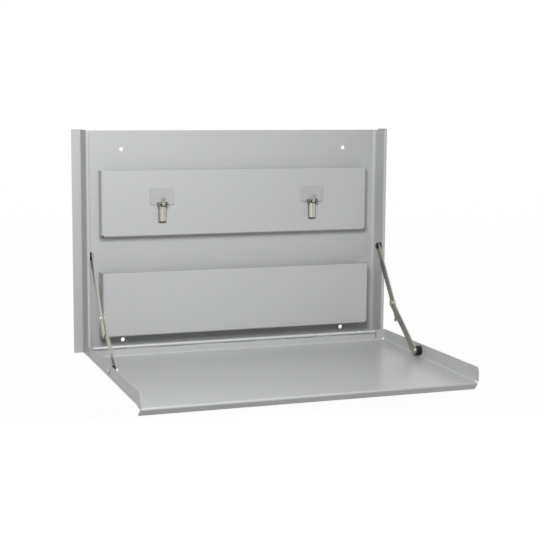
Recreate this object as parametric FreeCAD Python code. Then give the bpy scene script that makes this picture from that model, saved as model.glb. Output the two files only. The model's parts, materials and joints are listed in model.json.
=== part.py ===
import FreeCAD, Part
import math
import os

# Fold down wall desk of bent sheet steel: a back panel with hollow side rails, two document
# pockets, two spring clips, and a writing tray that folds up on a continuous hinge.
# Millimetres. +Z is up, -Y is towards the person at the desk, +X is to the right.
# The origin is the centre of the four wall screw holes, on the wall face of the panel.

V = FreeCAD.Vector
PARTS = "parts"

# ---- back panel --------------------------------------------------------------------------
panel_height = 379.0
box_width = 544.5        # over the outer walls of the two side rails
rail_depth = 41.0        # wall face to the front of the rails
rail_thick = 5.4         # a rail is one sheet folded back on itself
ear_width = 15.7         # fixing ear outside each rail, flat on the wall
sheet = 1.2
corner_radius = 5.0      # inside bend between the back and a rail
back_step = 2.0          # only the ears and outer walls reach the full height
lip_proud = 1.2          # front of the bottom flange past the fronts of the rails
lip_clear = 3.2          # top of its upturned lip below the hinge axis
hole_pitch_x = 406.4
hole_pitch_z = 327.0
hole_row_low = 18.5      # lower pair of wall holes above the bottom edge
wall_hole_dia = 7.0

# ---- pockets -----------------------------------------------------------------------------
pocket_sheet = 1.0
upper_width = 485.5
upper_depth = 19.0
upper_low = 198.2        # above the bottom edge of the panel
upper_tall = 112.0
lower_width = 487.5
lower_depth = 31.0
lower_low = 29.0
lower_tall = 109.0
pocket_bend = 3.0        # inside bend radius of the front corners
pocket_flange = 11.0     # inward flanges welded to the back
hem_length = 8.0

# ---- hinge -------------------------------------------------------------------------------
hinge_height = 14.3      # axis above the bottom edge
knuckle_dia = 6.4
leaf_thick = 1.0
pin_dia = 2.9
hinge_inset_left = 6.5   # from each end of the hinge to the outside of the box
hinge_inset_right = 19.5
knuckle_count = 9
flange_gap = 0.3         # tray flange and leaf below the knuckles
hinge_slot = 2.0         # notch of the tray's rear flange past each end of the hinge
knuckle_gap = 0.3
leaf_set = 0.1           # face of the tray's leaf in front of the axis

# ---- tray --------------------------------------------------------------------------------
tray_depth = 349.0
tray_rear_height = 20.5
tray_front_height = 25.8
tray_bend = 2.6          # inside bend radius of the side flanges
tray_lip_drop = 12.3
tray_lip_back = 12.0
tray_hem = 5.0
tray_corner = 7.0        # rounded top front corner of a side flange
fold_gap = 0.5           # side flanges to the fronts of the rails, tray folded up

# ---- stays -------------------------------------------------------------------------------
bar_width = 14.0
bar_thick = 2.0
pivot_up = 168.5         # upper pivot above the bottom edge
pivot_behind = 10.5      # upper pivot behind the front of the rail
reach_out = 147.0        # lower pivot in front of the hinge axis, tray open
reach_down = 7.5         # lower pivot below the hinge axis, tray open
knee_sag = 17.5          # the stop lug holds the knee this far off the straight line
folded_lean = 6.0        # upper bar leans back to the wall by this, degrees, tray folded up
tail_clear = 1.0         # end of the upper bar's tail above the hinge, tray folded up
lug_long = 5.0           # stop lug along the end of the tail
lug_clear = 0.3          # lug below the lower bar's under edge
knee_end = 2.0           # straight end of the lower bar past the knee
washer_dia = 13.0
spacer_dia = 16.0
bar_gap = 0.4
stud_dia = 5.0
head_dia = 10.0
head_tall = 1.6
upset_tall = 1.4
head_clear = 1.8         # head of the knee rivet to the rail beside it, tray folded up
run_fit = 0.06
rivet_fit = 0.05         # round a rivet in a hole that doesn't turn on it

# ---- clips -------------------------------------------------------------------------------
clip_x = 137.0
clip_low = 223.5         # bottom of the clip above the bottom edge of the panel
clip_axis = 252.5
plate_wide = 42.0
plate_tall = 29.0
plate_thick = 2.0
jaw_wide = 14.0
jaw_bulge = 4.2
jaw_sheet = 0.8
base_sheet = 0.8
clip_pin_dia = 2.4
tongue_wide = 5.0
wire_dia = 0.8
ear_out = 2.2            # outer face of a clip ear beyond the side of the jaw
ear_nose = 2.6           # rounded end of an ear round the pin
plate_gap = 0.5          # notch in the raised plate round the ears and the pin
clip_rivet_dia = 2.4
clip_rivet_down = 12.5   # below the pin
clip_pin_end = 0.4       # end of a pin past the ear that it is staked in

# ---- sizes that follow -------------------------------------------------------------------
bottom = -(hole_row_low + hole_pitch_z / 2.0)
rail_out = box_width / 2.0
rail_in = rail_out - rail_thick
axis_z = bottom + hinge_height
lip_front = -(rail_depth + lip_proud)
# The panel's leaf rolls off the back of the knuckles, the tray's leaf is set to their middle.
panel_leaf_mid = (knuckle_dia - leaf_thick) / 2.0
tray_leaf_mid = -(leaf_thick / 2.0 + leaf_set)
axis_y = lip_front - leaf_thick / 2.0 - 0.02 - panel_leaf_mid
tray_back = axis_y + tray_leaf_mid - leaf_thick / 2.0 - 0.02
tray_top = axis_z + (-rail_depth - axis_y) - fold_gap
tray_low = tray_top - tray_rear_height
tray_slope = math.atan((tray_front_height - tray_rear_height) / tray_depth)
upper_face = -upper_depth
washer_thick = head_tall + head_clear
ear_reach = jaw_wide / 2.0 + ear_out     # outer face of a clip ear from the clip's middle


# ---- helpers -----------------------------------------------------------------------------
def unit(a, b):
    length = math.hypot(b[0] - a[0], b[1] - a[1])
    return ((b[0] - a[0]) / length, (b[1] - a[1]) / length)


def place(point, plane):
    if plane == "xy":
        return V(point[0], point[1], 0)
    if plane == "yz":
        return V(0, point[0], point[1])
    return V(point[0], 0, point[1])


def offset_path(path, distance):
    """Corner points of a path moved sideways to its left by distance."""
    result = []
    last = len(path) - 1
    for i, point in enumerate(path):
        if i == 0:
            d = unit(path[0], path[1])
            result.append((point[0] - d[1] * distance, point[1] + d[0] * distance))
            continue
        if i == last:
            d = unit(path[last - 1], path[last])
            result.append((point[0] - d[1] * distance, point[1] + d[0] * distance))
            continue
        d1 = unit(path[i - 1], point)
        d2 = unit(point, path[i + 1])
        nx = -(d1[1] + d2[1])
        ny = d1[0] + d2[0]
        scale = distance / (1.0 + d1[0] * d2[0] + d1[1] * d2[1])
        result.append((point[0] + nx * scale, point[1] + ny * scale))
    return result


def rounded_edges(path, radii, plane):
    """Lines and arcs along a path whose corners have the given radii."""
    edges = []
    start = path[0]
    for i in range(1, len(path) - 1):
        d1 = unit(path[i - 1], path[i])
        d2 = unit(path[i], path[i + 1])
        cross = d1[0] * d2[1] - d1[1] * d2[0]
        dot = d1[0] * d2[0] + d1[1] * d2[1]
        turn = math.atan2(cross, dot)
        r = radii[i - 1]
        if r < 0.02 or abs(turn) < 1e-4:
            edges.append(Part.makeLine(place(start, plane), place(path[i], plane)))
            start = path[i]
            continue
        cut = r * math.tan(abs(turn) / 2.0)
        a = (path[i][0] - d1[0] * cut, path[i][1] - d1[1] * cut)
        b = (path[i][0] + d2[0] * cut, path[i][1] + d2[1] * cut)
        side = 1.0 if turn > 0 else -1.0
        centre = (a[0] - d1[1] * r * side, a[1] + d1[0] * r * side)
        m = unit(centre, path[i])
        middle = (centre[0] + m[0] * r, centre[1] + m[1] * r)
        if math.hypot(a[0] - start[0], a[1] - start[1]) > 1e-5:
            edges.append(Part.makeLine(place(start, plane), place(a, plane)))
        arc = Part.Arc(place(a, plane), place(middle, plane), place(b, plane))
        edges.append(arc.toShape())
        start = b
    edges.append(Part.makeLine(place(start, plane), place(path[-1], plane)))
    return edges


def bent_strip(path, bends, thick, plane, span):
    """Sheet bent along a middle line; bends are inside radii; span is the extrusion.

    An inside radius of nothing is a fold pressed shut, sharp inside and round outside.
    """
    left = offset_path(path, thick / 2.0)
    right = offset_path(path, -thick / 2.0)
    left_radii = []
    right_radii = []
    for i in range(1, len(path) - 1):
        d1 = unit(path[i - 1], path[i])
        d2 = unit(path[i], path[i + 1])
        turns_left = d1[0] * d2[1] - d1[1] * d2[0] > 0
        inner = bends[i - 1]
        left_radii.append(inner if turns_left else inner + thick)
        right_radii.append(inner + thick if turns_left else inner)
    edges = rounded_edges(left, left_radii, plane)
    edges.append(Part.makeLine(place(left[-1], plane), place(right[-1], plane)))
    back = rounded_edges(right[::-1], right_radii[::-1], plane)
    edges += back
    edges.append(Part.makeLine(place(right[0], plane), place(left[0], plane)))
    wire = Part.Wire(Part.__sortEdges__(edges))
    return Part.Face(wire).extrude(span)


def block(x0, x1, y0, y1, z0, z1):
    return Part.makeBox(x1 - x0, y1 - y0, z1 - z0, V(x0, y0, z0))


def rod(radius, length, start, direction):
    return Part.makeCylinder(radius, length, start, direction)


def turned(profile, centre, direction):
    """Solid of revolution; profile is (radius, height) points starting on the axis."""
    points = [V(r, 0, h) for r, h in profile]
    points.append(points[0])
    face = Part.Face(Part.makePolygon(points))
    solid = face.revolve(V(0, 0, 0), V(0, 0, 1), 360)
    turn = FreeCAD.Rotation(V(0, 0, 1), direction)
    solid.Placement = FreeCAD.Placement(centre, turn)
    return solid


def mirrored(shape):
    return shape.mirror(V(0, 0, 0), V(1, 0, 0))


def joined(shapes):
    result = shapes[0].fuse(shapes[1:]) if len(shapes) > 1 else shapes[0]
    return result.removeSplitter()


def save(name, shapes):
    shape = shapes if not isinstance(shapes, list) else Part.makeCompound(shapes)
    solids = shape.Solids
    if len(solids) == 1:
        shape = solids[0]
    print(name, "solids", len(solids), "valid", shape.isValid(),
          "volume", round(shape.Volume, 1))
    shape.exportStep(PARTS + "/" + name + ".step")


# ---- linkage of a stay -------------------------------------------------------------------
def fold(point):
    """Where a point of the open tray goes when the tray is folded up, as (y, z)."""
    dy = point[0] - axis_y
    dz = point[1] - axis_z
    return (axis_y + dz, axis_z - dy)


def stay_geometry():
    """Upper pivot, lower pivot and knee, as (y, z), with the tray open.

    The two bars are sized so that the knee sags by knee_sag when the tray is open and hangs
    below the upper pivot, leaning back by folded_lean, when the tray is folded up.
    """
    up = (-(rail_depth - pivot_behind), bottom + pivot_up)
    low = (axis_y - reach_out, axis_z - reach_down)
    folded = fold(low)
    lean = math.radians(folded_lean)
    ux, uz = math.sin(lean), -math.cos(lean)
    dx, dz = up[0] - folded[0], up[1] - folded[1]
    span = math.hypot(up[0] - low[0], up[1] - low[1])
    lo, hi = span, span * 1.3
    for _ in range(60):
        total = (lo + hi) / 2.0
        a = (total * total - dx * dx - dz * dz) / (2.0 * (total + ux * dx + uz * dz))
        b = total - a
        along = (a * a - b * b + span * span) / (2.0 * span)
        if a * a - along * along > knee_sag * knee_sag:
            hi = total
        else:
            lo = total
    ex, ez = (low[0] - up[0]) / span, (low[1] - up[1]) / span
    knee = (up[0] + along * ex - knee_sag * ez, up[1] + along * ez + knee_sag * ex)
    return up, low, knee


def tail_length():
    """Upper bar past the knee: when folded it ends tail_clear above the hinge and tray."""
    up, low, knee = stay_geometry()
    upper_long = math.hypot(knee[0] - up[0], knee[1] - up[1])
    hinge_top = axis_z + knuckle_dia / 2.0
    flange_top = fold((tray_back - sheet, tray_low))[1]
    lean = math.radians(folded_lean)
    drop = up[1] - max(hinge_top, flange_top) - tail_clear
    return (drop - bar_width / 2.0 * math.sin(lean)) / math.cos(lean) - upper_long


# ---- back panel --------------------------------------------------------------------------
def back_panel():
    mid = sheet / 2.0
    ear = rail_out + ear_width
    half = [(0.0, -mid), (rail_in + mid, -mid), (rail_in + mid, -rail_depth + mid),
            (rail_out - mid, -rail_depth + mid), (rail_out - mid, -mid), (ear, -mid)]
    front = (rail_thick - sheet) / 2.0 - mid - 0.1
    bends = [corner_radius, front, front, sheet]
    right = bent_strip(half, bends, sheet, "xy", V(0, 0, panel_height))
    right.translate(V(0, 0, bottom))
    top_cut = block(-1, rail_out - sheet - 0.1, -rail_depth - 1, 1,
                    bottom + panel_height - back_step, bottom + panel_height + 1)
    low_cut = block(-1, rail_in - 0.3, -sheet - 1, 1, bottom - 1, bottom + 8.0)
    right = right.cut(top_cut).cut(low_cut)
    # Bottom flange with its upturned lip, bent from the same sheet between the rails.
    path = [(-mid, bottom + 8.0), (-mid, bottom + mid), (lip_front + mid, bottom + mid),
            (lip_front + mid, axis_z - lip_clear)]
    floor = bent_strip(path, [2.0, 1.6], sheet, "yz", V(rail_in - 0.3, 0, 0))
    right = right.fuse(floor)
    panel = joined([right, mirrored(right)])
    holes = []
    for sx in (-1, 1):
        for sz in (-1, 1):
            start = V(sx * hole_pitch_x / 2.0, 5, sz * hole_pitch_z / 2.0)
            holes.append(rod(wall_hole_dia / 2.0, 20, start, V(0, -1, 0)))
    up = stay_geometry()[0]
    for sx in (-1, 1):
        start = V(sx * (rail_in - 3), up[0], up[1])
        holes.append(rod(stud_dia / 2.0 + rivet_fit, 3 + sheet + 1.0, start, V(sx, 0, 0)))
    return panel.cut(holes)


# ---- pockets -----------------------------------------------------------------------------
def pocket(width, depth, low, tall):
    """Open topped pocket: bent front and sides, folded bottom, hem along the mouth."""
    t = pocket_sheet
    z0 = bottom + low
    x_out = width / 2.0 - t / 2.0
    y_wall = -sheet - 0.02 - t / 2.0
    y_face = -depth + t / 2.0
    half = [(0.0, y_face), (x_out, y_face), (x_out, y_wall),
            (x_out - pocket_flange, y_wall)]
    side = bent_strip(half, [pocket_bend, 1.0], t, "xy", V(0, 0, tall))
    side.translate(V(0, 0, z0))
    inner = x_out - pocket_bend - t
    side = side.cut(block(-1, inner, -depth - 1, -depth + t + 0.5, z0 - 1, z0 + 6.0))
    # Corner relief where the front, the side and the bottom meet.
    side = side.cut(block(inner - 0.5, width / 2.0 + 1, -depth - 1, -depth + t + pocket_bend,
                          z0 - 1, z0 + 3.0))
    top = z0 + tall
    side = side.cut(block(-1, inner - 2.0, -depth - 1, -depth + t + 0.5, top - 5.0, top + 1))
    hem_gap = 0.4
    hem = [(y_face, top - 5.0), (y_face, top - t / 2.0),
           (y_face + t + hem_gap, top - t / 2.0), (y_face + t + hem_gap, top - hem_length)]
    mouth = bent_strip(hem, [0.0, 0.0], t, "yz",
                       V(inner - 2.0, 0, 0))
    foot = [(y_face, z0 + 6.0), (y_face, z0 + t / 2.0), (y_wall, z0 + t / 2.0),
            (y_wall, z0 + pocket_flange)]
    floor = bent_strip(foot, [1.5, 1.0], t, "yz", V(inner, 0, 0))
    side = side.cut(block(-1, x_out - pocket_flange - 2, y_wall - 1, y_wall + 1, z0 - 1,
                          z0 + 1))
    right = side.fuse([mouth, floor])
    return joined([right, mirrored(right)])


# ---- hinge -------------------------------------------------------------------------------
def hinge_span():
    """Left and right ends of the hinge across X."""
    return hinge_inset_left - rail_out, rail_out - hinge_inset_right


def hinge_leaf(y_mid, first):
    """One leaf with every second knuckle from the first; y_mid is its middle plane."""
    left, right = hinge_span()
    pitch = (right - left) / knuckle_count
    low = bottom + 2.0
    gap_top = axis_z - knuckle_dia / 2.0 - flange_gap
    pieces = [block(left, right, y_mid - leaf_thick / 2.0, y_mid + leaf_thick / 2.0, low,
                    gap_top)]
    for i in range(first, knuckle_count, 2):
        x0 = left + i * pitch + knuckle_gap / 2.0
        wide = pitch - knuckle_gap
        tube = rod(knuckle_dia / 2.0, wide, V(x0, axis_y, axis_z), V(1, 0, 0))
        strap = block(x0, x0 + wide, y_mid - leaf_thick / 2.0, y_mid + leaf_thick / 2.0,
                      gap_top, axis_z)
        pieces += [tube, strap]
    leaf = joined(pieces)
    bore = rod(pin_dia / 2.0 + run_fit, right - left + 2, V(left - 1, axis_y, axis_z),
               V(1, 0, 0))
    return leaf.cut(bore)


def hinge_pin():
    left, right = hinge_span()
    return rod(pin_dia / 2.0, right - left + 0.8, V(left - 0.4, axis_y, axis_z), V(1, 0, 0))


# ---- tray --------------------------------------------------------------------------------
def tray():
    """Writing surface with side and rear flanges and a tucked under front lip.

    It is built level with its rear outer corner at the origin, then sloped down to the
    front so that the tops of the side flanges come level.
    """
    t = sheet
    mid = t / 2.0
    lean = math.tan(tray_slope)
    rear_tall = tray_rear_height
    front = -tray_depth
    lip = unit((0.0, 0.0), (tray_lip_back, -tray_lip_drop))
    lip_long = math.hypot(tray_lip_back, tray_lip_drop)
    tip = (front + mid + lip[0] * lip_long, mid + lip[1] * lip_long)
    up = (-lip[1], lip[0])
    hem_off = t + 0.4
    back_tip = (tip[0] + up[0] * hem_off, tip[1] + up[1] * hem_off)
    hem_end = (back_tip[0] - lip[0] * tray_hem, back_tip[1] - lip[1] * tray_hem)
    floor_in = rail_out - mid - tray_bend - t - 0.4
    path_back = [(-mid + rear_tall * lean, rear_tall), (-mid, mid), (-20.0, mid)]
    rear = bent_strip(path_back, [2.2], t, "yz", V(floor_in, 0, 0))
    path_front = [(front + 16.0, mid), (front + mid, mid), tip, back_tip, hem_end]
    fore = bent_strip(path_front, [1.6, 0.0, 0.0], t, "yz", V(rail_out - 0.5, 0, 0))
    floor = block(0, floor_in, front + 16.0, -20.0, 0, t)
    # Side flange with its long bend, a straight section cut to the outline of the flange.
    tall = tray_front_height + 6.0
    path_side = [(floor_in, mid), (rail_out - mid, mid), (rail_out - mid, tall)]
    side = bent_strip(path_side, [tray_bend], t, "xz", V(0, -tray_depth, 0))
    side = side.cut(block(floor_in - 1, rail_out + 1, front - 1, front + 12.0, -1, 3.0))
    side = side.cut(block(floor_in - 1, rail_out - t - 0.01, front - 1, front + 12.0, -1, tall))
    bridge = block(floor_in, rail_out - 0.5, front + 12.0, front + 16.0, 0, t)
    bridge = bridge.cut(block(rail_out - tray_bend - t, rail_out, front + 11, front + 17,
                              -1, t + 1))
    right = joined([rear, floor, fore, side, bridge])
    right.rotate(V(0, 0, 0), V(1, 0, 0), math.degrees(tray_slope))
    right.translate(V(0, tray_back, tray_low))
    nose = tray_back + front
    level = tray_top
    under = level - 3.0 * tray_front_height
    outline = [(tray_back + 10, level), (nose + 0.4, level), (nose + 0.4, under),
               (tray_back + 10, under)]
    edges = rounded_edges([outline[0], outline[1], outline[2]], [tray_corner], "yz")
    edges.append(Part.makeLine(place(outline[2], "yz"), place(outline[3], "yz")))
    edges.append(Part.makeLine(place(outline[3], "yz"), place(outline[0], "yz")))
    keep = Part.Face(Part.Wire(Part.__sortEdges__(edges))).extrude(V(2 * rail_out, 0, 0))
    flange_zone = block(rail_out - t - 0.005, rail_out + 1, nose - 5, tray_back + 5,
                        tray_low - 20, level + 20)
    trimmed = right.common(flange_zone).common(keep)
    rest = right.cut(flange_zone)
    # Rear corner above the bends, closed up to the side flange.
    corner = block(floor_in - 0.5, rail_out - mid, tray_back - t, tray_back,
                   tray_low + tray_bend + t + 1.0, tray_top)
    right = joined([rest, trimmed, corner])
    both = joined([right, mirrored(right)])
    # The rear flange is lower along the hinge, with a slot down to its bend at each end.
    left_end, right_end = hinge_span()
    notch_top = tray_top + 1.0
    notches = [block(left_end - hinge_slot, right_end + hinge_slot, tray_back - t - 0.5,
                     tray_back + 0.5, axis_z - knuckle_dia / 2.0 - flange_gap, notch_top)]
    for x0 in (left_end - hinge_slot, right_end):
        notches.append(block(x0, x0 + hinge_slot, tray_back - t - 0.5, tray_back + 0.5,
                             tray_low + tray_bend + t + 1.0, notch_top))
    both = both.cut(notches)
    low = stay_geometry()[1]
    holes = []
    for sx in (-1, 1):
        start = V(sx * (rail_out - t - 1), low[0], low[1])
        holes.append(rod(stud_dia / 2.0 + rivet_fit, t + 2, start, V(sx, 0, 0)))
    return both.cut(holes)


# ---- stays -------------------------------------------------------------------------------
def flat_bar(x0, start, end, tail_start, tail_end, round_end):
    """Flat bar in a plane across X, between two pivot points given as (y, z)."""
    d = unit(start, end)
    n = (-d[1], d[0])
    r = bar_width / 2.0
    a = (start[0] - d[0] * tail_start, start[1] - d[1] * tail_start)
    b = (end[0] + d[0] * tail_end, end[1] + d[1] * tail_end)

    def at(p, along, across):
        return V(x0, p[0] + d[0] * along + n[0] * across, p[1] + d[1] * along + n[1] * across)

    edges = [Part.makeLine(at(a, 0, r), at(b, 0, r)),
             Part.makeLine(at(b, 0, -r), at(a, 0, -r)),
             Part.Arc(at(a, 0, -r), at(a, -r, 0), at(a, 0, r)).toShape()]
    if round_end:
        edges.append(Part.Arc(at(b, 0, r), at(b, r, 0), at(b, 0, -r)).toShape())
    else:
        edges.append(Part.makeLine(at(b, 0, r), at(b, 0, -r)))
    face = Part.Face(Part.Wire(Part.__sortEdges__(edges)))
    return face.extrude(V(bar_thick, 0, 0))


def bar_planes():
    """Outer faces, across X, of the upper and lower bars of the right hand stay."""
    upper_out = rail_in - washer_thick - 0.02
    lower_out = upper_out - bar_thick - bar_gap
    return upper_out, lower_out


def stay_upper():
    up, low, knee = stay_geometry()
    upper_out, lower_out = bar_planes()
    x0 = upper_out - bar_thick
    stop_tail = tail_length()
    bar = flat_bar(x0, up, knee, 0.0, stop_tail, False)
    # The stop lug is folded over at the end of the tail and bears under the lower bar.
    d = unit(up, knee)
    e = unit(knee, low)
    n = (-d[1], d[0])
    r = bar_width / 2.0
    tip = (knee[0] + d[0] * stop_tail, knee[1] + d[1] * stop_tail)
    # Height of the lower bar's under edge above the tail's middle line, at the lug.
    swing = math.atan2(d[0] * e[1] - d[1] * e[0], d[0] * e[0] + d[1] * e[1])
    near = (stop_tail - lug_long) * math.tan(abs(swing)) - r / math.cos(swing)
    side = -1.0 if swing < 0 else 1.0
    top = side * (near - lug_clear)
    floor = -side * r

    def at(along, across, x):
        return V(x, tip[0] + d[0] * along + n[0] * across,
                 tip[1] + d[1] * along + n[1] * across)

    x_in = lower_out - bar_thick + 0.2
    points = [at(-lug_long, floor, x_in), at(0, floor, x_in), at(0, top, x_in),
              at(-lug_long, top, x_in)]
    points.append(points[0])
    lug = Part.Face(Part.makePolygon(points)).extrude(V(x0 - x_in + 0.5, 0, 0))
    bar = joined([bar, lug])
    for p in (up, knee):
        start = V(x0 - 1, p[0], p[1])
        bar = bar.cut(rod(stud_dia / 2.0 + run_fit, bar_thick + 2, start, V(1, 0, 0)))
    return bar


def stay_lower():
    up, low, knee = stay_geometry()
    x0 = bar_planes()[1] - bar_thick
    bar = flat_bar(x0, knee, low, knee_end, 0.0, True)
    for p in (knee, low):
        start = V(x0 - 1, p[0], p[1])
        bar = bar.cut(rod(stud_dia / 2.0 + run_fit, bar_thick + 2, start, V(1, 0, 0)))
    return bar


def rivet(x_head, x_tip, point, radius):
    """Rivet across X with a flat head: it starts at x_head, the shank ends at x_tip."""
    way = 1.0 if x_tip > x_head else -1.0
    long = abs(x_tip - x_head)
    r = head_dia / 2.0
    profile = [(0, -head_tall), (r, -head_tall), (r, 0), (radius, 0), (radius, long),
               (0, long)]
    return turned(profile, V(x_head, point[0], point[1]), V(way, 0, 0))


def upper_pivot():
    """Rivet through the rail's inner wall and the upper bar, upset inside the rail."""
    up = stay_geometry()[0]
    upper_out = bar_planes()[0]
    x_head = upper_out - bar_thick - 0.05
    wall_back = rail_in + sheet
    body = rivet(x_head, wall_back + 0.02, up, stud_dia / 2.0)
    upset = rod(stud_dia * 0.8, upset_tall, V(wall_back + 0.02, up[0], up[1]), V(1, 0, 0))
    return joined([body, upset])


def ring(x0, x1, point, outer, inner):
    tube = rod(outer, x1 - x0, V(x0, point[0], point[1]), V(1, 0, 0))
    bore = rod(inner, x1 - x0 + 2, V(x0 - 1, point[0], point[1]), V(1, 0, 0))
    return tube.cut(bore)


def upper_washer():
    up = stay_geometry()[0]
    return ring(rail_in - washer_thick - 0.01, rail_in - 0.01, up, washer_dia / 2.0,
                stud_dia / 2.0 + rivet_fit)


def lower_spacer():
    low = stay_geometry()[1]
    x0 = bar_planes()[1] + 0.35
    x1 = rail_out - sheet - 0.01
    return ring(x0, x1, low, spacer_dia / 2.0, stud_dia / 2.0 + rivet_fit)


def lower_pivot_outer():
    """Part of the lower pivot that the tray carries: head outside, shank to the spacer."""
    low = stay_geometry()[1]
    return rivet(rail_out + 0.02, bar_planes()[1] + 0.35, low, stud_dia / 2.0)


def lower_pivot_inner():
    """Part of the lower pivot inside the lower bar."""
    low = stay_geometry()[1]
    lower_out = bar_planes()[1]
    return rivet(lower_out - bar_thick - 0.05, lower_out + 0.3, low, stud_dia / 2.0)


def knee_outer():
    """Part of the knee rivet that the upper bar carries."""
    knee = stay_geometry()[2]
    upper_out = bar_planes()[0]
    return rivet(upper_out + 0.02, upper_out - bar_thick - 0.02, knee, stud_dia / 2.0)


def knee_inner():
    """Part of the knee rivet that the lower bar carries."""
    knee = stay_geometry()[2]
    lower_out = bar_planes()[1]
    return rivet(lower_out - bar_thick - 0.02, lower_out + 0.02, knee, stud_dia / 2.0)


# ---- clips -------------------------------------------------------------------------------
def clip_plate():
    """Raised plate above the clip with rounded corners and a softened front edge."""
    z0 = bottom + clip_axis - 1.5
    y0 = upper_face - 0.02
    plate = block(-plate_wide / 2.0, plate_wide / 2.0, y0 - plate_thick, y0, z0,
                  z0 + plate_tall)
    corners = [e for e in plate.Edges
               if abs(e.Vertexes[0].Y - e.Vertexes[-1].Y) > plate_thick - 0.1]
    plate = plate.makeFillet(1.5, corners)
    front = [e for e in plate.Edges if e.BoundBox.YMax < y0 - plate_thick + 0.01]
    plate = plate.makeChamfer(0.5, front)
    # Notch that lets the plate come down past the ears and the ends of the pin.
    half = clip_pin_half() + plate_gap
    top = bottom + clip_axis + ear_nose + plate_gap
    return plate.cut(block(-half, half, y0 - plate_thick - 1, y0 + 1, z0 - 1, top))


def clip_pin_y():
    return upper_face - base_sheet - 5.6


def clip_pin_half():
    """Half the length of a clip pin."""
    return ear_reach + clip_pin_end


def clip_base():
    """Strap flat on the pocket with two ears for the pin and a turned out foot."""
    t = base_sheet
    z_axis = bottom + clip_axis
    z_foot = bottom + clip_low - 2.6
    y_mid = upper_face - 0.02 - t / 2.0
    path = [(y_mid - 2.2, z_foot), (y_mid, z_foot + 1.4), (y_mid, z_axis - 2.2)]
    strap = bent_strip(path, [1.0], t, "yz", V(jaw_wide, 0, 0))
    strap.translate(V(-jaw_wide / 2.0, 0, 0))
    pin_y = clip_pin_y()
    ears = []
    for s in (-1, 1):
        x_out = s * ear_reach
        x_root = s * (jaw_wide / 2.0 - 1.0)
        foot = [(x_root, y_mid), (x_out - s * t / 2.0, y_mid),
                (x_out - s * t / 2.0, pin_y - ear_nose)]
        ear = bent_strip(foot, [0.6], t, "xy", V(0, 0, 7.0))
        ear.translate(V(0, 0, z_axis - 4.6))
        nose = rod(ear_nose, 4 * jaw_wide, V(-2 * jaw_wide, pin_y, z_axis), V(1, 0, 0))
        stem = block(-2 * jaw_wide, 2 * jaw_wide, pin_y, y_mid + 1, z_axis - 4.6,
                     z_axis + ear_nose)
        ears.append(ear.common(nose.fuse(stem)))
    base = joined([strap] + ears)
    bore = rod(clip_pin_dia / 2.0 + 0.03, 4 * jaw_wide, V(-2 * jaw_wide, pin_y, z_axis),
               V(1, 0, 0))
    base = base.cut(bore)
    start = V(0, y_mid + 2, z_axis - clip_rivet_down)
    return base.cut(rod(clip_rivet_dia / 2.0 + rivet_fit, 4, start, V(0, -1, 0)))


def jaw_section(wide, bulge, thick):
    """Curved shell section in X and Y, open towards the pocket."""
    w = wide / 2.0
    radius = (w * w + bulge * bulge) / (2.0 * bulge)
    inner = radius - thick
    centre = bulge - radius
    wi = math.sqrt(inner * inner - centre * centre)
    outer_arc = Part.Arc(V(-w, 0, 0), V(0, -bulge, 0), V(w, 0, 0)).toShape()
    inner_arc = Part.Arc(V(wi, 0, 0), V(0, -bulge + thick, 0), V(-wi, 0, 0)).toShape()
    edges = [outer_arc, Part.makeLine(V(w, 0, 0), V(wi, 0, 0)), inner_arc,
             Part.makeLine(V(-wi, 0, 0), V(-w, 0, 0))]
    return Part.Face(Part.Wire(Part.__sortEdges__(edges)))


def clip_jaw():
    """Curved sprung jaw with a closed lip, two pin lugs and a thumb tongue."""
    z_axis = bottom + clip_axis
    z_low = bottom + clip_low
    z_high = z_axis - 3.6
    pin_y = clip_pin_y()
    y_edge = upper_face - base_sheet - 2.4
    shell = jaw_section(jaw_wide, jaw_bulge, jaw_sheet).extrude(V(0, 0, z_high - z_low))
    shell.translate(V(0, y_edge, z_low))
    # Closed bottom of the jaw, reaching in to grip on the base.
    w = jaw_wide / 2.0
    reach = upper_face - base_sheet - 0.4
    outline = [Part.Arc(V(-w, y_edge, z_low), V(0, y_edge - jaw_bulge, z_low),
                        V(w, y_edge, z_low)).toShape(),
               Part.makeLine(V(w, y_edge, z_low), V(w, reach, z_low)),
               Part.makeLine(V(w, reach, z_low), V(-w, reach, z_low)),
               Part.makeLine(V(-w, reach, z_low), V(-w, y_edge, z_low))]
    lip = Part.Face(Part.Wire(Part.__sortEdges__(outline))).extrude(V(0, 0, 1.4))
    lugs = []
    for s in (-1, 1):
        x_mid = s * (jaw_wide / 2.0 - jaw_sheet / 2.0)
        lug = rod(2.4, jaw_sheet, V(x_mid - jaw_sheet / 2.0, pin_y, z_axis), V(1, 0, 0))
        stem = block(x_mid - jaw_sheet / 2.0, x_mid + jaw_sheet / 2.0, pin_y - 2.4,
                     y_edge + 0.2, z_high - 2.0, z_axis)
        lugs += [lug, stem]
    crown = y_edge - jaw_bulge + jaw_sheet / 2.0
    out = pin_y - clip_pin_dia / 2.0 - wire_dia - 1.3
    path = [(crown, z_high - 4.0), (crown, z_high - 0.6), (out, z_axis - 1.6),
            (out, z_axis + 3.2), (out - 2.2, z_axis + 11.5)]
    tongue = bent_strip(path, [0.8, 0.8, 2.0], jaw_sheet, "yz", V(tongue_wide, 0, 0))
    tongue.translate(V(-tongue_wide / 2.0, 0, 0))
    jaw = joined([shell, lip, tongue] + lugs)
    bore = rod(clip_pin_dia / 2.0 + run_fit, 4 * jaw_wide, V(-2 * jaw_wide, pin_y, z_axis),
               V(1, 0, 0))
    return jaw.cut(bore)


def clip_pin():
    half = clip_pin_half()
    return rod(clip_pin_dia / 2.0, 2 * half, V(-half, clip_pin_y(), bottom + clip_axis),
               V(1, 0, 0))


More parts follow.
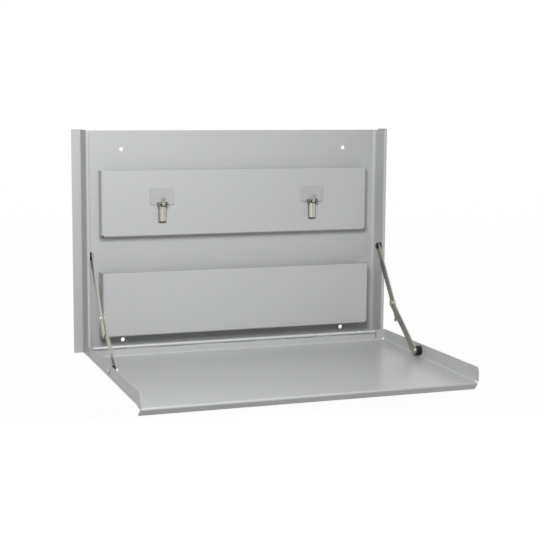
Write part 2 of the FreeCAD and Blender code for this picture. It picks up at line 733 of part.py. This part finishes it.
def clip_spring():
    """Torsion spring round the pin, with a leg on the base and a leg inside the jaw.

    The wire follows the coil in short straight lengths, mitred where they meet.
    """
    z_axis = bottom + clip_axis
    pin_y = clip_pin_y()
    coil_r = clip_pin_dia / 2.0 + 0.25 + wire_dia / 2.0
    turns = 3.75
    pitch = 1.0
    steps = 8
    start = -pitch * turns / 2.0
    # The coil starts at its back, where the wire rises, and ends under the pin.
    coil = []
    for i in range(int(turns * steps) + 1):
        a = 2.0 * math.pi * i / steps
        coil.append(V(start + pitch * i / steps, pin_y + coil_r * math.cos(a),
                      z_axis + coil_r * math.sin(a)))
    back_leg = V(coil[0].x, pin_y + coil_r + 0.9, z_axis - 5.0)
    bend = V(coil[-1].x, pin_y + 0.9, z_axis - coil_r - 1.0)
    front_leg = V(coil[-1].x, pin_y + 0.9, z_axis - coil_r - 4.2)
    points = [back_leg] + coil + [bend, front_leg]
    direction = points[1] - points[0]
    direction.normalize()
    side = V(1, 0, 0).cross(direction)
    side.normalize()
    other = direction.cross(side)
    ring_points = []
    for i in range(6):
        a = math.pi * i / 3.0
        ring_points.append(points[0] + side * (wire_dia / 2.0 * math.cos(a))
                           + other * (wire_dia / 2.0 * math.sin(a)))
    section = Part.makePolygon(ring_points + [ring_points[0]])
    return Part.makePolygon(points).makePipeShell([section], True, True, 1)


def clip_rivet():
    """Small rivet that holds a clip base on the pocket, flush inside the pocket."""
    r = clip_rivet_dia / 2.0
    through = base_sheet + pocket_sheet + 0.04
    profile = [(0, -0.6), (r + 0.8, -0.6), (r + 0.8, 0), (r, 0), (r, through), (0, through)]
    start = V(0, upper_face - 0.04 - base_sheet, bottom + clip_axis - clip_rivet_down)
    return turned(profile, start, V(0, 1, 0))


def at_clip(shape, side):
    moved = shape.copy()
    moved.translate(V(side * clip_x, 0, 0))
    return moved


def main():
    os.makedirs(PARTS, exist_ok=True)
    save("back_panel", back_panel())
    upper = pocket(upper_width, upper_depth, upper_low, upper_tall)
    holes = []
    for s in (-1, 1):
        start = V(s * clip_x, upper_face - 1, bottom + clip_axis - clip_rivet_down)
        holes.append(rod(clip_rivet_dia / 2.0 + rivet_fit, pocket_sheet + 2, start,
                         V(0, 1, 0)))
    save("upper_pocket", upper.cut(holes))
    save("lower_pocket", pocket(lower_width, lower_depth, lower_low, lower_tall))
    save("hinge_leaf_panel", hinge_leaf(axis_y + panel_leaf_mid, 0))
    save("hinge_leaf_tray", hinge_leaf(axis_y + tray_leaf_mid, 1))
    save("hinge_pin", hinge_pin())
    save("tray", tray())
    pairs = [("stay_upper", stay_upper()), ("stay_lower", stay_lower()),
             ("knee_rivet_outer", knee_outer())]
    for name, shape in pairs:
        save(name + "_right", shape)
        save(name + "_left", mirrored(shape))
    inner = [knee_inner(), lower_pivot_inner()]
    save("lower_bar_rivets_right", inner)
    save("lower_bar_rivets_left", [mirrored(rivet_shape) for rivet_shape in inner])
    groups = [("upper_pivot_rivets", upper_pivot()), ("upper_pivot_washers", upper_washer()),
              ("lower_pivot_rivets", lower_pivot_outer()),
              ("lower_pivot_spacers", lower_spacer())]
    for name, shape in groups:
        save(name, [shape, mirrored(shape)])
    clip = [("clip_plate", clip_plate()), ("clip_base", clip_base()), ("clip_jaw", clip_jaw())]
    for name, shape in clip:
        save(name + "_left", at_clip(shape, -1))
        save(name + "_right", at_clip(shape, 1))
    save("clip_pins", [at_clip(clip_pin(), side) for side in (-1, 1)])
    save("clip_springs", [at_clip(clip_spring(), side) for side in (-1, 1)])
    save("clip_rivets", [at_clip(clip_rivet(), side) for side in (-1, 1)])
    up, low, knee = stay_geometry()
    print("stay pivots", up, low, knee)


main()
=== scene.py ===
# %% [markdown]
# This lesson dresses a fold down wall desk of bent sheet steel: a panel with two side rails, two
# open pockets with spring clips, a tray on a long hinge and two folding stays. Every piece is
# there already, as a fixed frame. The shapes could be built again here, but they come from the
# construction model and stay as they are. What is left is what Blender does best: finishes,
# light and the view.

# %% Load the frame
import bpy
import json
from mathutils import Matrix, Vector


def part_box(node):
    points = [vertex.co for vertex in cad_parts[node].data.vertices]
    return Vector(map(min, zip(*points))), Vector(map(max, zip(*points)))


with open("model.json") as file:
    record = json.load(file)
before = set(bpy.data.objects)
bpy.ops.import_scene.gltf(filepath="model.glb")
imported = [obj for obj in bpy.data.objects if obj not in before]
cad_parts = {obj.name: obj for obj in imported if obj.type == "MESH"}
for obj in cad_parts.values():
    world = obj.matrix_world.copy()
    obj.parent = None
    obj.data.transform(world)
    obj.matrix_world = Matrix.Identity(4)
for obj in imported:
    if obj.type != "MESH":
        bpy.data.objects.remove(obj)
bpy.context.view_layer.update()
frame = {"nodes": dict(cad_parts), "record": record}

# %% [markdown]
# The frame lists its pieces and the bodies that carry them: the panel, the tray, the four bars
# of the stays and the two clip jaws. Names could be typed in one by one. They are read from the
# frame instead, so the lesson can't forget a rivet.

# %% What is in the frame
import json
import math
import bpy
from mathutils import Matrix, Vector

nodes = frame["nodes"]

# %% [markdown]
# A finish is a small graph of shader nodes. It could be wired by hand in the shader editor. The
# helpers below do the same in code: they make a material, add a node to its graph, set a
# socket and link two nodes, so that each finish later reads as a short list of what it is made
# of. Every pattern is laid out in object coordinates, in metres. Each piece sits at the origin
# with its place in its mesh, so a pattern keeps its real scale and moves with its piece.

# %% Helpers: material, node, link and group
def add(tree, kind, **values):
    node = tree.nodes.new(kind)
    for name, value in values.items():
        setattr(node, name, value)
    return node


def link(tree, start, end):
    tree.links.new(start, end)


def new_finish(name, colour, roughness, metallic=0.0):
    finish = bpy.data.materials.new(name)
    finish.use_nodes = True
    tree = finish.node_tree
    surface = tree.nodes["Principled BSDF"]
    surface.inputs["Base Color"].default_value = (*colour, 1.0)
    surface.inputs["Roughness"].default_value = roughness
    surface.inputs["Metallic"].default_value = metallic
    return finish, tree, surface


def place_group(tree, group, **values):
    node = add(tree, "ShaderNodeGroup", node_tree=group)
    for name, value in values.items():
        node.inputs[name.replace("_", " ")].default_value = value
    return node


def new_group(name, inputs, outputs):
    group = bpy.data.node_groups.new(name, "ShaderNodeTree")
    for label, kind, value in inputs:
        socket = group.interface.new_socket(name=label, in_out="INPUT", socket_type=kind)
        socket.default_value = value
    for label, kind in outputs:
        group.interface.new_socket(name=label, in_out="OUTPUT", socket_type=kind)
    start = add(group, "NodeGroupInput")
    end = add(group, "NodeGroupOutput")
    return group, start, end


FLOAT = "NodeSocketFloat"
VECTOR = "NodeSocketVector"
print("helpers ready: material, node, link and group")

# %% [markdown]
# Powder coat is plastic powder melted onto the steel. It flows almost flat but keeps a faint
# orange peel, about a millimetre from crest to crest and a few microns deep. It is also never
# quite one colour over a large sheet. One group makes both: a height for the peel and a slow
# tone. A picture texture could do this as well, but noise has no seams and no edge.

# %% Group: orange peel
orange_peel, start, end = new_group(
    "orange_peel",
    [("Peel Size", FLOAT, 0.0012), ("Tone Size", FLOAT, 0.12)],
    [("Height", FLOAT), ("Tone", FLOAT)])
where = add(orange_peel, "ShaderNodeTexCoord")
for size, output in (("Peel Size", "Height"), ("Tone Size", "Tone")):
    density = add(orange_peel, "ShaderNodeMath", operation="DIVIDE")
    density.inputs[0].default_value = 1.0
    link(orange_peel, start.outputs[size], density.inputs[1])
    noise = add(orange_peel, "ShaderNodeTexNoise")
    noise.inputs["Detail"].default_value = 2.0
    link(orange_peel, where.outputs["Object"], noise.inputs["Vector"])
    link(orange_peel, density.outputs[0], noise.inputs["Scale"])
    link(orange_peel, noise.outputs["Fac"], end.inputs[output])
print("group", orange_peel.name)

# %% [markdown]
# No cut or folded edge of sheet steel is a knife edge. Paint rounds it off, and that thin line
# is what catches the light. A bevel modifier would round the mesh itself, which has to stay as
# it is. The Bevel node gives the rounded direction without touching the mesh. Where it differs
# from the flat one there is an edge, and that difference is a mask.

# %% Group: softened edge
full_edge = 0.85        # how far the two directions still agree where the mask is full
soft_edge, start, end = new_group(
    "soft_edge",
    [("Radius", FLOAT, 0.0005)],
    [("Normal", VECTOR), ("Edge", FLOAT)])
rounded = add(soft_edge, "ShaderNodeBevel", samples=6)
flat = add(soft_edge, "ShaderNodeNewGeometry")
agree = add(soft_edge, "ShaderNodeVectorMath", operation="DOT_PRODUCT")
mask = add(soft_edge, "ShaderNodeMapRange")
mask.inputs["From Min"].default_value = 1.0
mask.inputs["From Max"].default_value = full_edge
link(soft_edge, start.outputs["Radius"], rounded.inputs["Radius"])
link(soft_edge, rounded.outputs["Normal"], agree.inputs[0])
link(soft_edge, flat.outputs["Normal"], agree.inputs[1])
link(soft_edge, agree.outputs["Value"], mask.inputs["Value"])
link(soft_edge, rounded.outputs["Normal"], end.inputs["Normal"])
link(soft_edge, mask.outputs["Result"], end.inputs["Edge"])
print("group", soft_edge.name)

# %% [markdown]
# Rolled and plated bar has fine lines along its length and dulls in patches. A wave texture
# would give lines too, but evenly spaced ones. Noise that is squeezed across the bar and
# stretched along it gives uneven ones, as the mill leaves them. The bars lie at different
# slopes, so the group takes the slope and turns the pattern with it.

# %% Group: rolled lines
patch_scale = 160.0     # patches per metre
rolled_lines, start, end = new_group(
    "rolled_lines",
    [("Slope", FLOAT, 0.0), ("Width", FLOAT, 0.0004), ("Length", FLOAT, 0.03)],
    [("Height", FLOAT), ("Patches", FLOAT)])
where = add(rolled_lines, "ShaderNodeTexCoord")
turn = add(rolled_lines, "ShaderNodeVectorRotate", rotation_type="X_AXIS")
across = add(rolled_lines, "ShaderNodeMath", operation="DIVIDE")
along = add(rolled_lines, "ShaderNodeMath", operation="DIVIDE")
squeeze = add(rolled_lines, "ShaderNodeCombineXYZ")
stretched = add(rolled_lines, "ShaderNodeVectorMath", operation="MULTIPLY")
lines = add(rolled_lines, "ShaderNodeTexNoise")
patches = add(rolled_lines, "ShaderNodeTexNoise")
lines.inputs["Scale"].default_value = 1.0
lines.inputs["Detail"].default_value = 3.0
patches.inputs["Scale"].default_value = patch_scale
across.inputs[0].default_value = 1.0
along.inputs[0].default_value = 1.0
link(rolled_lines, where.outputs["Object"], turn.inputs["Vector"])
link(rolled_lines, start.outputs["Slope"], turn.inputs["Angle"])
link(rolled_lines, start.outputs["Width"], across.inputs[1])
link(rolled_lines, start.outputs["Length"], along.inputs[1])
link(rolled_lines, across.outputs[0], squeeze.inputs["X"])
link(rolled_lines, along.outputs[0], squeeze.inputs["Y"])
link(rolled_lines, across.outputs[0], squeeze.inputs["Z"])
link(rolled_lines, turn.outputs["Vector"], stretched.inputs[0])
link(rolled_lines, squeeze.outputs["Vector"], stretched.inputs[1])
link(rolled_lines, stretched.outputs["Vector"], lines.inputs["Vector"])
link(rolled_lines, where.outputs["Object"], patches.inputs["Vector"])
link(rolled_lines, lines.outputs["Fac"], end.inputs["Height"])
link(rolled_lines, patches.outputs["Fac"], end.inputs["Patches"])
print("group", rolled_lines.name)

# %% [markdown]
# Three small steps come back in every finish: a mask slides between two colours, a mask slides
# between two numbers, and a height becomes a bump on top of the softened edge. Each could be
# written out where it is used. As helpers they are written once, and a finish says only which
# mask and which two ends.

# %% Helpers: slide between values, raise a bump and shade a colour
def slide_colour(tree, mask_output, low, high, target):
    mix = add(tree, "ShaderNodeMix", data_type="RGBA")
    mix.inputs["A"].default_value = (*low, 1.0)
    mix.inputs["B"].default_value = (*high, 1.0)
    link(tree, mask_output, mix.inputs["Factor"])
    link(tree, mix.outputs["Result"], target)
    return mix


def slide_number(tree, mask_output, low, high, target):
    spread = add(tree, "ShaderNodeMapRange")
    spread.inputs["To Min"].default_value = low
    spread.inputs["To Max"].default_value = high
    link(tree, mask_output, spread.inputs["Value"])
    link(tree, spread.outputs["Result"], target)


def raise_bump(tree, height_output, normal_output, depth, target):
    bump = add(tree, "ShaderNodeBump")
    bump.inputs["Strength"].default_value = 1.0
    bump.inputs["Distance"].default_value = depth
    link(tree, height_output, bump.inputs["Height"])
    if normal_output is not None:
        link(tree, normal_output, bump.inputs["Normal"])
    link(tree, bump.outputs["Normal"], target)


def shade(colour, factor):
    return tuple(min(1.0, c * factor) for c in colour)


print("helpers ready: slide, bump and shade")

# %% [markdown]
# The desk itself is light grey satin powder coat: panel, pockets and tray, and the raised
# plates over the clips, which are painted a touch darker. The coat is a dielectric, so its
# shine is a weak white one over the colour. Its colour is painted lighter along every edge, a
# painted highlight where the thin rounded line catches the light. The hinge has a paler coat
# with some metal in it, so its barrel shines.
# One flat grey would do for a drawing, but a real sheet wanders a little in tone and gloss, and
# that is what the eye takes for paint. So one function takes a grey and lays all of this on it.

# %% Finish: light grey powder coat
peel_size = 0.0012
tone_size = 0.14
paint_edge_radius = 0.0005
paint_shine = 0.75
# painted highlight: every edge is painted this much lighter than the sheet
painted_edge_highlight = 1.1
tone_spread = 0.025
gloss_spread = 0.03


def powder_coat(name, colour, roughness, peel_depth=0.000012, metallic=0.0):
    finish, tree, surface = new_finish(name, colour, roughness, metallic)
    surface.inputs["Specular IOR Level"].default_value = paint_shine
    peel = place_group(tree, orange_peel, Peel_Size=peel_size, Tone_Size=tone_size)
    edge = place_group(tree, soft_edge, Radius=paint_edge_radius)
    # painted highlight: the edge mask paints the colour lighter along every edge
    lighter = slide_colour(tree, edge.outputs["Edge"], colour, shade(colour, painted_edge_highlight),
                           surface.inputs["Base Color"])
    slide_colour(tree, peel.outputs["Tone"], shade(colour, 1.0 - tone_spread),
                 shade(colour, 1.0 + tone_spread), lighter.inputs["A"])
    slide_number(tree, peel.outputs["Tone"], roughness - gloss_spread,
                 roughness + gloss_spread, surface.inputs["Roughness"])
    raise_bump(tree, peel.outputs["Height"], edge.outputs["Normal"], peel_depth,
               surface.inputs["Normal"])
    return finish


grey = (0.51, 0.52, 0.515)
hinge_grey = (0.60, 0.61, 0.62)
satin = 0.31
finishes = {
    "panel_paint": powder_coat("panel_paint", grey, satin),
    "hinge_steel": powder_coat("hinge_steel", hinge_grey, 0.25, peel_depth=0.000006,
                               metallic=0.5),
    # the raised plates are painted a touch darker than the panel
    "clip_plate": powder_coat("clip_plate_paint", shade(grey, 0.90), satin),
}
print("powder coats", sorted(finishes))

# %% [markdown]
# The bars of the stays are zinc plated. Zinc is a metal, so its colour is the colour of its
# reflection, here a slightly warm grey that has dulled in patches. A picture of zinc could be
# laid over the bars, but its lines would run the wrong way on one of them. The rolled lines
# turn with each bar instead: the upper and the lower one get the same finish with their own
# slope, which is read from the box of the bar. Left and right slope alike, so the right bar
# stands for both.

# %% Finish: zinc plated bars and rivets
line_width = 0.0004
line_length = 0.03
metal_edge_radius = 0.0003
dull_patch, bright_patch = 0.82, 1.12
patch_gloss = 0.08


def plated_steel(name, slope, colour, roughness, line_depth=0.000008):
    finish, tree, surface = new_finish(name, colour, roughness, metallic=1.0)
    marks = place_group(tree, rolled_lines, Slope=slope, Width=line_width, Length=line_length)
    edge = place_group(tree, soft_edge, Radius=metal_edge_radius)
    slide_colour(tree, marks.outputs["Patches"], shade(colour, dull_patch),
                 shade(colour, bright_patch), surface.inputs["Base Color"])
    slide_number(tree, marks.outputs["Patches"], roughness + patch_gloss,
                 roughness - patch_gloss, surface.inputs["Roughness"])
    raise_bump(tree, marks.outputs["Height"], edge.outputs["Normal"], line_depth,
               surface.inputs["Normal"])
    return finish


def slope_of(node):
    low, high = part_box(node)
    return math.atan2(high.z - low.z, high.y - low.y)


zinc = (0.42, 0.40, 0.36)
rivet_zinc = (0.52, 0.50, 0.46)
for bar in ("stay_upper", "stay_lower"):
    slope = slope_of(bar + "_right")
    finishes[bar] = plated_steel("zinc_" + bar, -slope, zinc, 0.36)
    print(bar, "slope", round(math.degrees(slope), 1))
finishes["rivet_steel"] = plated_steel("rivet_steel", 0.0, rivet_zinc, 0.32)

# %% [markdown]
# The clips are nickel plated and only a little warm, soft rather than mirror bright, with fine
# scratches from use. Their pins and springs are blackened steel. Each could have a function of
# its own, but plated steel is plated steel: another colour, another roughness and shallower
# lines are enough.

# %% Finish: clip plating and blackened steel
nickel = (0.40, 0.385, 0.345)
blackened = (0.05, 0.05, 0.05)
scratch_depth = 0.000004
finishes["clip_plating"] = plated_steel("clip_plating", 0.0, nickel, 0.40, scratch_depth)
finishes["black_steel"] = plated_steel("black_steel", 0.0, blackened, 0.40, scratch_depth)
print("finishes so far", sorted(finishes))

# %% [markdown]
# The washers and spacers of the stays are black nylon, moulded, matt and slightly uneven. Pure
# black with no shine would look like a hole, and a glossy black would look like glass. So the
# colour is just above black, the shine is weak and wide, and the same orange peel at a smaller
# size gives the skin that the mould leaves.

# %% Finish: black nylon
nylon_black = (0.010, 0.010, 0.010)
nylon_shine = 0.3
nylon_edge_radius = 0.0003
skin_size = 0.0005
skin_tone_size = 0.01
darker, paler = 0.8, 1.3


def moulded_nylon(name, colour, roughness, skin_depth=0.00001):
    finish, tree, surface = new_finish(name, colour, roughness)
    surface.inputs["Specular IOR Level"].default_value = nylon_shine
    skin = place_group(tree, orange_peel, Peel_Size=skin_size, Tone_Size=skin_tone_size)
    edge = place_group(tree, soft_edge, Radius=nylon_edge_radius)
    slide_colour(tree, skin.outputs["Tone"], shade(colour, darker), shade(colour, paler),
                 surface.inputs["Base Color"])
    raise_bump(tree, skin.outputs["Height"], edge.outputs["Normal"], skin_depth,
               surface.inputs["Normal"])
    return finish


finishes["black_nylon"] = moulded_nylon("black_nylon", nylon_black, 0.62)
print("finishes", sorted(finishes))

# %% [markdown]
# Now each piece gets its finish. The record names a slot for every piece, so the list does not
# have to be written out again. A few differ. The bars need their own slope, the raised plates
# are darker, the rivets of the upper pivots are blackened like the washers beside them, and the
# rivet heads on the outside of the tray were painted over together with it.

# %% Give every piece its finish
slots = {part["node"]: part["material_slot"] for part in frame["record"]["subparts"]}
own_finishes = {
    "stay_upper": "stay_upper",
    "stay_lower": "stay_lower",
    "clip_plate": "clip_plate",
    "upper_pivot_rivets": "black_steel",
    "lower_pivot_rivets": "panel_paint",
}
for name, piece in nodes.items():
    slot = slots[name]
    for start_of_name, own_finish in own_finishes.items():
        if name.startswith(start_of_name):
            slot = own_finish
    for material_slot in piece.material_slots:
        material_slot.material = finishes[slot]
print("dressed", len(nodes), "pieces")

# %% [markdown]
# The backdrop is white, but a backdrop that bright would also light the desk from all sides
# and wash it out. Light Path tells the rays apart: those that go straight to the camera, or
# come by way of a shiny or clear surface, see white, and all others see something plainer. A
# white card behind the desk could do it as well, but it would show its edge from one side or
# another. The helper is for the floor and the world alike.

# %% Helper: rays that see the backdrop as white
def white_rays(tree, low, high, target):
    rays = add(tree, "ShaderNodeLightPath")
    straight = add(tree, "ShaderNodeMath", operation="MAXIMUM")
    clear = add(tree, "ShaderNodeMath", operation="MAXIMUM")
    link(tree, rays.outputs["Is Camera Ray"], straight.inputs[0])
    link(tree, rays.outputs["Is Glossy Ray"], straight.inputs[1])
    link(tree, straight.outputs[0], clear.inputs[0])
    link(tree, rays.outputs["Is Transmission Ray"], clear.inputs[1])
    slide_number(tree, clear.outputs[0], low, high, target)


print("helper ready: white rays")

# %% [markdown]
# The stage is a pale floor well below the desk, because the desk hangs on a wall. A square
# plane would do, but a disc shows no corner from any side. It is one flat face with many
# points on its rim.

# %% Floor: disc
floor_height = -0.95
floor_reach = 14.0
rim_points = 96
rim_angles = [2 * math.pi * i / rim_points for i in range(rim_points)]
rim = [(floor_reach * math.cos(a), floor_reach * math.sin(a), floor_height) for a in rim_angles]
floor_mesh = bpy.data.meshes.new("floor")
floor_mesh.from_pydata(rim, [], [tuple(range(rim_points))])
floor = bpy.data.objects.new("floor", floor_mesh)
bpy.context.scene.collection.objects.link(floor)
print("floor at", floor_height, "reach", floor_reach)

# %% [markdown]
# The floor is matt painted board with a faint mottle, for which the orange peel serves again at
# a larger size. Paint alone would look grey against the white backdrop and show a horizon. Seen
# straight or in the plated metal the floor therefore glows as well, which brings it close to
# white. What the lamps add on top is all that the desk can keep away, so its shadow is very
# faint. Every other ray meets plain paint, and the glow lights nothing.

# %% Floor: paint
floor_paint = (0.82, 0.82, 0.82)
floor_roughness = 0.9
floor_glow = 0.78
mottle_size = 0.02
mottle_tone_size = 0.4
mottle_spread = 0.02
mottle_depth = 0.0001
floor_finish, tree, surface = new_finish("floor", floor_paint, floor_roughness)
mottle = place_group(tree, orange_peel, Peel_Size=mottle_size, Tone_Size=mottle_tone_size)
slide_colour(tree, mottle.outputs["Tone"], shade(floor_paint, 1.0 - mottle_spread),
             shade(floor_paint, 1.0 + mottle_spread), surface.inputs["Base Color"])
raise_bump(tree, mottle.outputs["Height"], None, mottle_depth, surface.inputs["Normal"])
surface.inputs["Emission Color"].default_value = (1.0, 1.0, 1.0, 1.0)
white_rays(tree, 0.0, floor_glow, surface.inputs["Emission Strength"])
floor.data.materials.append(floor_finish)
print("floor painted, glow", floor_glow)

# %% [markdown]
# The world is a soft grey that lights the desk from all round, as the walls of a room do. To
# the camera and in shiny metal it is white. A brighter world would need no lamps, but it has no
# direction and would take the shadows from under the pockets.

# %% World
ambient = 0.19
world = bpy.data.worlds.new("studio")
bpy.context.scene.world = world
world.use_nodes = True
tree = world.node_tree
backdrop = tree.nodes["Background"]
backdrop.inputs["Color"].default_value = (1.0, 1.0, 1.0, 1.0)
white_rays(tree, ambient, 1.0, backdrop.inputs["Strength"])
print("ambient", ambient)

# %% [markdown]
# One soft box does most of the work. It stands close in front, above the desk and a little to
# the left of its middle. Being close, it loses strength towards the right, and being high it
# draws the shadows under the pockets. The left rail hardly shades the panel, because the lamp
# is nearly straight in front of it. A weak box far to the right fills that side a little, and
# one behind lights the back and the rims. Little comes from below, so the front of the tray's
# lip stays darker than the tray. One large box in front would be simpler, but under it the
# panel looks the same from end to end.

# %% Lamps
def soft_box(name, place, aim, size, power):
    light = bpy.data.lights.new(name, "AREA")
    light.shape = "SQUARE"
    light.size = size
    light.energy = power
    lamp = bpy.data.objects.new(name, light)
    bpy.context.scene.collection.objects.link(lamp)
    lamp.location = place
    lamp.rotation_euler = (Vector(aim) - Vector(place)).to_track_quat("-Z", "Y").to_euler()
    print(name, "power", power)


desk = (0.0, -0.15, -0.05)
soft_box("key", place=(-0.34, -0.92, 0.48), aim=desk, size=0.35, power=8.6)
soft_box("far_right", place=(1.67, -0.76, 0.26), aim=desk, size=0.8, power=3.0)
soft_box("behind", place=(0.4, 1.9, 0.7), aim=desk, size=0.9, power=12.0)

# %% [markdown]
# The camera stands a little to the left and above, and looks down slightly. Its place is in
# metres in the desk's own frame. It could be aimed at a point with a tracking constraint, but
# that would hold it level, and this camera has a small roll. A turn to the right, a tilt down
# and that roll make its three directions instead, which are the columns of its matrix.

# %% Camera
picture_width = 544.0
focal_pixels = 1286.7
sensor_width = 36.0
eye = Vector((-0.7089, -2.1392, 0.2574))
turn_right, tilt_down, roll = 0.34918, 0.13739, 0.0072
ahead = Vector((math.sin(turn_right) * math.cos(tilt_down),
                math.cos(turn_right) * math.cos(tilt_down), -math.sin(tilt_down)))
level = Vector((math.cos(turn_right), -math.sin(turn_right), 0.0))
upright = level.cross(ahead)
side = math.cos(roll) * level + math.sin(roll) * upright
top = -math.sin(roll) * level + math.cos(roll) * upright
camera_data = bpy.data.cameras.new("camera")
camera_data.sensor_width = sensor_width
camera_data.lens = focal_pixels / picture_width * sensor_width
camera_data.clip_end = 100.0
camera = bpy.data.objects.new("camera", camera_data)
bpy.context.scene.collection.objects.link(camera)
columns = Matrix((side, top, -ahead)).transposed().to_4x4()
camera.matrix_world = Matrix.Translation(eye) @ columns
bpy.context.scene.camera = camera
bpy.context.scene.view_settings.view_transform = "Standard"
print("lens", round(camera_data.lens, 2))
